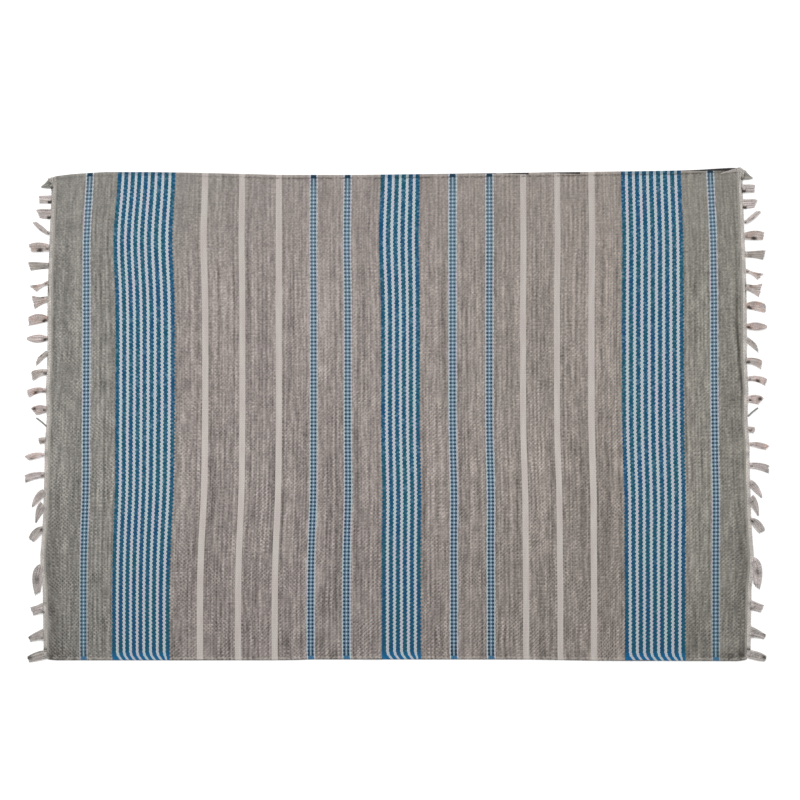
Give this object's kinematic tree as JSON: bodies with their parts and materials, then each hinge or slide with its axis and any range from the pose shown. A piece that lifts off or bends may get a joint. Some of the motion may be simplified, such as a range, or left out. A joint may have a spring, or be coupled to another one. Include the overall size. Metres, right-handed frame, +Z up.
{
  "type": "kilim rug",
  "caption": "Flat-woven striped kilim rug lying flat, with a raised twined heading and a row of knotted warp-end tassels along each short end.",
  "frame": {"origin": "middle of the rug's footprint, tassels included, on the floor that it lies on", "axes": "+X along the rug (warp), +Y across it (weft) towards the far selvedge, +Z up out of the face"},
  "size_m": [1.8436, 1.217, 0.008],
  "materials": {
    "cloth": "weft-faced plain weave of grey-beige marled yarn with blue, white and ecru stripes, matt",
    "heading": "twined ecru warp, matt",
    "tassel": "cut ecru warp ends, matt and a little fluffy"
  },
  "bodies": {
    "root": {"field": "cloth", "heading_left": "heading", "heading_right": "heading", "tassel_left_01": "tassel", "tassel_left_02": "tassel", "tassel_left_03": "tassel", "tassel_left_04": "tassel", "tassel_left_05": "tassel", "tassel_left_06": "tassel", "tassel_left_07": "tassel", "tassel_left_08": "tassel", "tassel_left_09": "tassel", "tassel_left_10": "tassel", "tassel_left_11": "tassel", "tassel_left_12": "tassel", "tassel_left_13": "tassel", "tassel_left_14": "tassel", "tassel_left_15": "tassel", "tassel_left_16": "tassel", "tassel_left_17": "tassel", "tassel_left_18": "tassel", "tassel_left_19": "tassel", "tassel_left_20": "tassel", "tassel_left_21": "tassel", "tassel_left_22": "tassel", "tassel_left_23": "tassel", "tassel_left_24": "tassel", "tassel_right_01": "tassel", "tassel_right_02": "tassel", "tassel_right_03": "tassel", "tassel_right_04": "tassel", "tassel_right_05": "tassel", "tassel_right_06": "tassel", "tassel_right_07": "tassel", "tassel_right_08": "tassel", "tassel_right_09": "tassel", "tassel_right_10": "tassel", "tassel_right_11": "tassel", "tassel_right_12": "tassel", "tassel_right_13": "tassel", "tassel_right_14": "tassel", "tassel_right_15": "tassel", "tassel_right_16": "tassel", "tassel_right_17": "tassel", "tassel_right_18": "tassel", "tassel_right_19": "tassel", "tassel_right_20": "tassel", "tassel_right_21": "tassel", "tassel_right_22": "tassel", "tassel_right_23": "tassel", "tassel_right_24": "tassel"}
  },
  "joints": []
}
